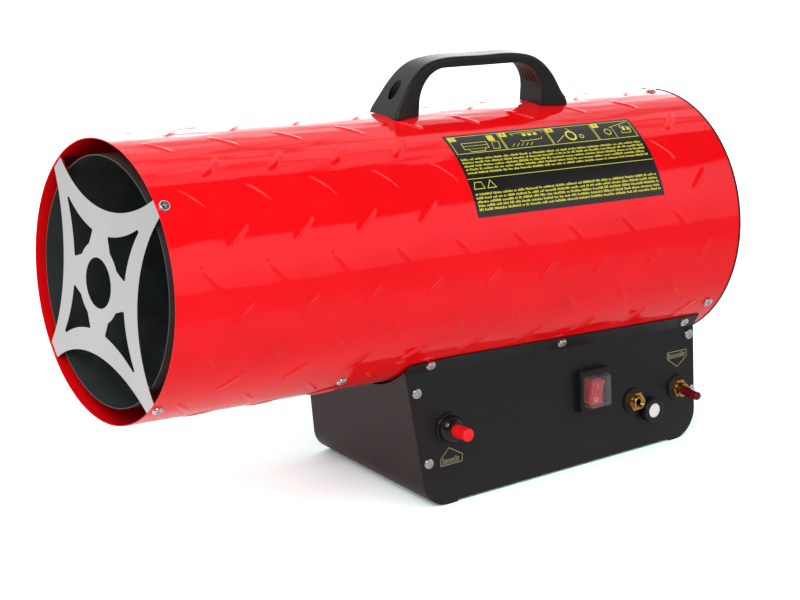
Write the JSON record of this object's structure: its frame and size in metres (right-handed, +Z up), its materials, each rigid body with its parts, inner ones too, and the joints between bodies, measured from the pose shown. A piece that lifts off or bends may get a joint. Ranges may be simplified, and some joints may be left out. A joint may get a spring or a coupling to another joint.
{
  "type": "forced air heater",
  "caption": "Portable gas fired forced air heater: a red drum with a cross-shaped outlet guard and a carrying handle, on a black sheet steel base with igniter, switch and gas valve.",
  "frame": {"origin": "on the floor under the middle of the whole heater (centre of the overall box, at its bottom)", "axes": "+Z up, +X to the air inlet at the rear, so warm air leaves towards -X; -Y is the side of the controls"},
  "size_m": [0.6003, 0.231, 0.3715],
  "materials": {
    "red_enamel": "gloss",
    "black_coat": "satin",
    "guard_steel": "satin",
    "chamber_steel": "matte",
    "zinc_steel": "gloss",
    "brass": "satin",
    "copper": "satin",
    "black_plastic": "satin",
    "gloss_black": "gloss",
    "red_plastic": "gloss",
    "dark_red_plastic": "gloss",
    "clear_hood": "gloss",
    "white_plastic": "satin",
    "white_ceramic": "gloss",
    "black_rubber": "matte",
    "fan_aluminium": "satin",
    "motor_iron": "matte",
    "motor_paint": "satin",
    "label_film": "satin",
    "lead_jacket": "matte"
  },
  "bodies": {
    "heater": {"outer_shell": "red_enamel", "shell_grommet": "black_rubber", "front_guard": "guard_steel", "front_guard_screws": "zinc_steel", "combustion_chamber": "chamber_steel", "chamber_spacers": "chamber_steel", "chamber_screws": "zinc_steel", "burner_plate": "chamber_steel", "burner_bracket": "chamber_steel", "burner_screws": "zinc_steel", "burner_cup": "chamber_steel", "flame_disc": "chamber_steel", "gas_injector": "brass", "electrode_insulator": "white_ceramic", "electrode_rod": "chamber_steel", "thermocouple": "copper", "motor_stator": "motor_iron", "motor_housing": "motor_paint", "motor_end_cap": "fan_aluminium", "motor_bearings": "zinc_steel", "motor_bracket": "black_coat", "motor_screws": "zinc_steel", "rear_guard": "black_coat", "rear_guard_screws": "zinc_steel", "handle": "black_plastic", "handle_screws": "zinc_steel", "label_plate": "label_film", "base_tray": "black_coat", "control_panel": "black_coat", "back_panel": "black_coat", "panel_screws": "zinc_steel", "strip_screws": "zinc_steel", "piezo_body": "gloss_black", "panel_lock_nuts": "black_plastic", "switch_body": "black_plastic", "switch_bezel": "black_plastic", "switch_hood": "clear_hood", "gas_inlet_fitting": "brass", "gas_inlet_collar": "black_plastic", "cable_gland_body": "black_plastic", "cable_gland_nut": "black_plastic", "gland_plug": "white_plastic", "gas_valve_body": "brass", "gas_valve_collar": "black_plastic", "gas_valve_nut": "brass", "solenoid_valve": "brass", "solenoid_coil": "black_plastic", "terminal_block": "white_plastic", "gas_pipes": "copper", "ignition_lead": "lead_jacket", "motor_cable": "lead_jacket", "control_leads": "lead_jacket"},
    "fan": {"fan_blade": "fan_aluminium", "fan_nut": "zinc_steel", "motor_shaft": "zinc_steel", "motor_rotor": "motor_iron"},
    "piezo_button": {"piezo_button": "red_plastic"},
    "switch_rocker": {"switch_rocker": "red_plastic"},
    "gas_valve_button": {"gas_valve_button": "dark_red_plastic", "gas_valve_stem": "zinc_steel"}
  },
  "joints": [
    {"name": "fan_spin", "type": "hinge", "parent": "heater", "child": "fan", "pos_m": [-0.0008, 0, 0.2115], "axis": [0.9981, 0, -0.061], "continuous": true},
    {"name": "piezo_press", "type": "slide", "parent": "heater", "child": "piezo_button", "axis": [0, 0.9977, -0.0676], "range_m": [0, 0.005], "stiffness_N_per_m": 800, "springref_m": -0.002},
    {"name": "gas_valve_press", "type": "slide", "parent": "heater", "child": "gas_valve_button", "axis": [0, 0.9993, 0.037], "range_m": [0, 0.006], "stiffness_N_per_m": 1200, "springref_m": -0.002},
    {"name": "switch_rock", "type": "hinge", "parent": "heater", "child": "switch_rocker", "pos_m": [0.1477, -0.07925, 0.06996], "axis": [-1, 0, 0], "range_deg": [0, 22]}
  ]
}
